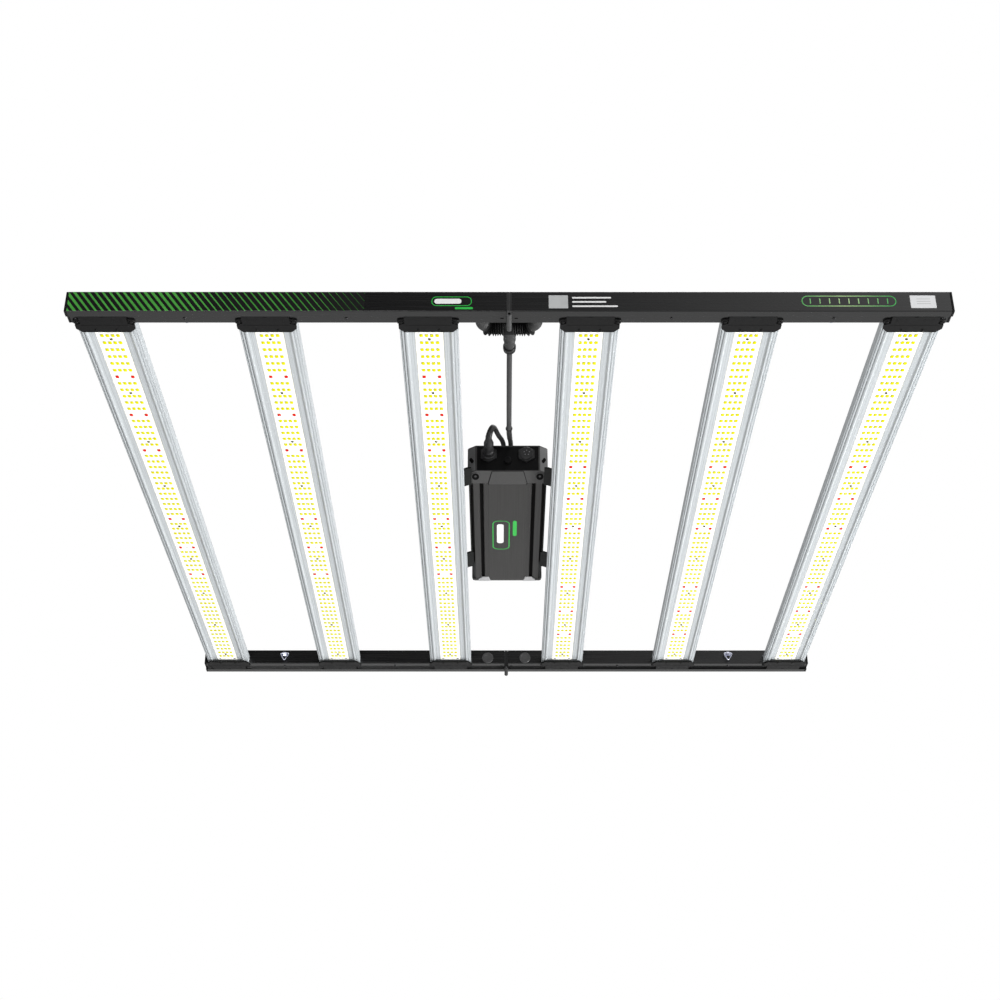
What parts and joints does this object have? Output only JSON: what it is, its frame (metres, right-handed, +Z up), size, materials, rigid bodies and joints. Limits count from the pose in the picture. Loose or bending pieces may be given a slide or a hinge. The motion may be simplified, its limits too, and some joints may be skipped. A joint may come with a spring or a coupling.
{
  "type": "led grow light",
  "caption": "Folding LED grow light: light bars between hinged black cross beams, hanger rings, and a driver on brackets over the middle with its cable and splitter.",
  "frame": {"origin": "centre of the four hanger ring pivots, which the light hangs by", "axes": "+Z up, away from the lit side; +Y along the light bars, from the beam with the cable splitter to the rear beam; +X across the bars, along the beams, to the half that folds"},
  "size_m": [1.08, 1.1, 0.0833],
  "materials": {
    "anodised_aluminium": "satin",
    "board_white": "satin",
    "black_aluminium": "satin",
    "black_painted_metal": "satin",
    "black_plastic": "satin",
    "driver_case": "matte",
    "black_rubber": "matte",
    "zinc_plate": "satin",
    "pin_steel": "satin",
    "circuit_board": "matte"
  },
  "bodies": {
    "left_half": {"light_bar_1": "anodised_aluminium", "led_board_1": "board_white", "end_cap_front_1": "black_plastic", "end_cap_rear_1": "black_plastic", "light_bar_2": "anodised_aluminium", "led_board_2": "board_white", "end_cap_front_2": "black_plastic", "end_cap_rear_2": "black_plastic", "light_bar_3": "anodised_aluminium", "led_board_3": "board_white", "end_cap_front_3": "black_plastic", "end_cap_rear_3": "black_plastic", "front_beam_left": "black_aluminium", "beam_cap_front_left": "black_plastic", "hinge_leaf_front_left": "black_painted_metal", "hanger_bracket_front_left": "zinc_plate", "hinge_pin_front": "pin_steel", "rear_beam_left": "black_aluminium", "beam_cap_rear_left": "black_plastic", "hinge_leaf_rear_left": "black_painted_metal", "hanger_bracket_rear_left": "zinc_plate", "hinge_pin_rear": "pin_steel", "cable_splitter": "black_rubber", "splitter_nut": "black_plastic", "driver_housing": "driver_case", "driver_front_cap": "driver_case", "driver_rear_cap": "driver_case", "driver_circuit_board": "circuit_board", "driver_bracket_left": "black_painted_metal", "driver_bracket_right": "black_painted_metal", "driver_output_socket": "black_plastic", "mains_inlet": "black_plastic", "cable_plug": "black_rubber", "driver_cable": "black_rubber"},
    "right_half": {"light_bar_4": "anodised_aluminium", "led_board_4": "board_white", "end_cap_front_4": "black_plastic", "end_cap_rear_4": "black_plastic", "light_bar_5": "anodised_aluminium", "led_board_5": "board_white", "end_cap_front_5": "black_plastic", "end_cap_rear_5": "black_plastic", "light_bar_6": "anodised_aluminium", "led_board_6": "board_white", "end_cap_front_6": "black_plastic", "end_cap_rear_6": "black_plastic", "front_beam_right": "black_aluminium", "beam_cap_front_right": "black_plastic", "hinge_leaf_front_right": "black_painted_metal", "hanger_bracket_front_right": "zinc_plate", "rear_beam_right": "black_aluminium", "beam_cap_rear_right": "black_plastic", "hinge_leaf_rear_right": "black_painted_metal", "hanger_bracket_rear_right": "zinc_plate", "splitter_right_arm": "black_rubber"},
    "ring_front_left": {"hanger_ring_front_left": "zinc_plate"},
    "ring_rear_left": {"hanger_ring_rear_left": "zinc_plate"},
    "ring_front_right": {"hanger_ring_front_right": "zinc_plate"},
    "ring_rear_right": {"hanger_ring_rear_right": "zinc_plate"},
    "dimmer": {"dimmer_knob": "black_plastic"}
  },
  "joints": [
    {"name": "fold", "type": "hinge", "parent": "left_half", "child": "right_half", "pos_m": [0, 0, -0.0255], "axis": [0, 1, 0], "range_deg": [0, 180]},
    {"name": "ring_swing_front_left", "type": "hinge", "parent": "left_half", "child": "ring_front_left", "pos_m": [-0.397, -0.514, 0], "axis": [1, 0, 0], "range_deg": [-20, 180]},
    {"name": "ring_swing_front_right", "type": "hinge", "parent": "right_half", "child": "ring_front_right", "pos_m": [0.397, -0.514, 0], "axis": [1, 0, 0], "range_deg": [-20, 180]},
    {"name": "ring_swing_rear_left", "type": "hinge", "parent": "left_half", "child": "ring_rear_left", "pos_m": [-0.397, 0.514, 0], "axis": [-1, 0, 0], "range_deg": [-20, 180]},
    {"name": "ring_swing_rear_right", "type": "hinge", "parent": "right_half", "child": "ring_rear_right", "pos_m": [0.397, 0.514, 0], "axis": [-1, 0, 0], "range_deg": [-20, 180]},
    {"name": "dimmer_turn", "type": "hinge", "parent": "left_half", "child": "dimmer", "pos_m": [0, -0.125, 0.0189], "axis": [0, -1, 0], "range_deg": [0, 270]}
  ]
}
